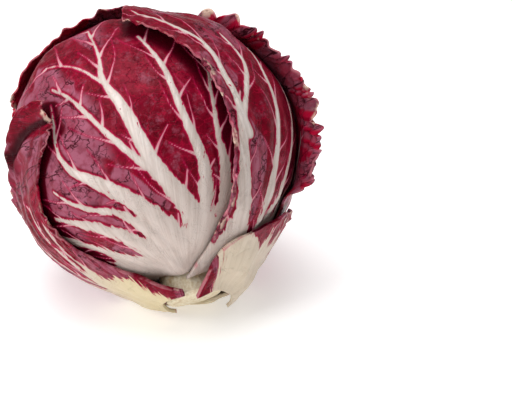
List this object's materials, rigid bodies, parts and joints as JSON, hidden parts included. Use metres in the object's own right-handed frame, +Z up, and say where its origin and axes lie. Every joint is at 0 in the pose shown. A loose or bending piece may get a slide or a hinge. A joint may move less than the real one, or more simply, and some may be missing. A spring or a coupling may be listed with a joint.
{
  "type": "radicchio head",
  "caption": "A whole round red radicchio head lying on its side, with a tight heart, a cut stem and loose crimson outer leaves with white ribs and ruffled edges",
  "frame": {"origin": "centre of the small flat spot the head rests on, straight below the middle of the heart", "axes": "+Z up, +X to the right and +Y to the back as seen in the picture; the cut stem points down to the front right"},
  "size_m": [0.1201, 0.1165, 0.1188],
  "materials": {
    "outer_leaf": "living leaf: waxy satin crimson with broad white ribs",
    "heart_leaf": "living leaf: tightly folded dark crimson",
    "stem_flesh": "moist cream-white cut plant flesh, matt"
  },
  "bodies": {
    "root": {"heart": "heart_leaf", "stem": "stem_flesh", "inner_leaf_left": "outer_leaf", "inner_leaf_right": "outer_leaf", "front_leaf": "outer_leaf", "right_leaf": "outer_leaf", "ruffled_leaf": "outer_leaf", "rear_left_leaf": "outer_leaf", "rear_leaf": "outer_leaf", "left_wrapper": "outer_leaf", "right_wrapper": "outer_leaf"}
  },
  "joints": []
}
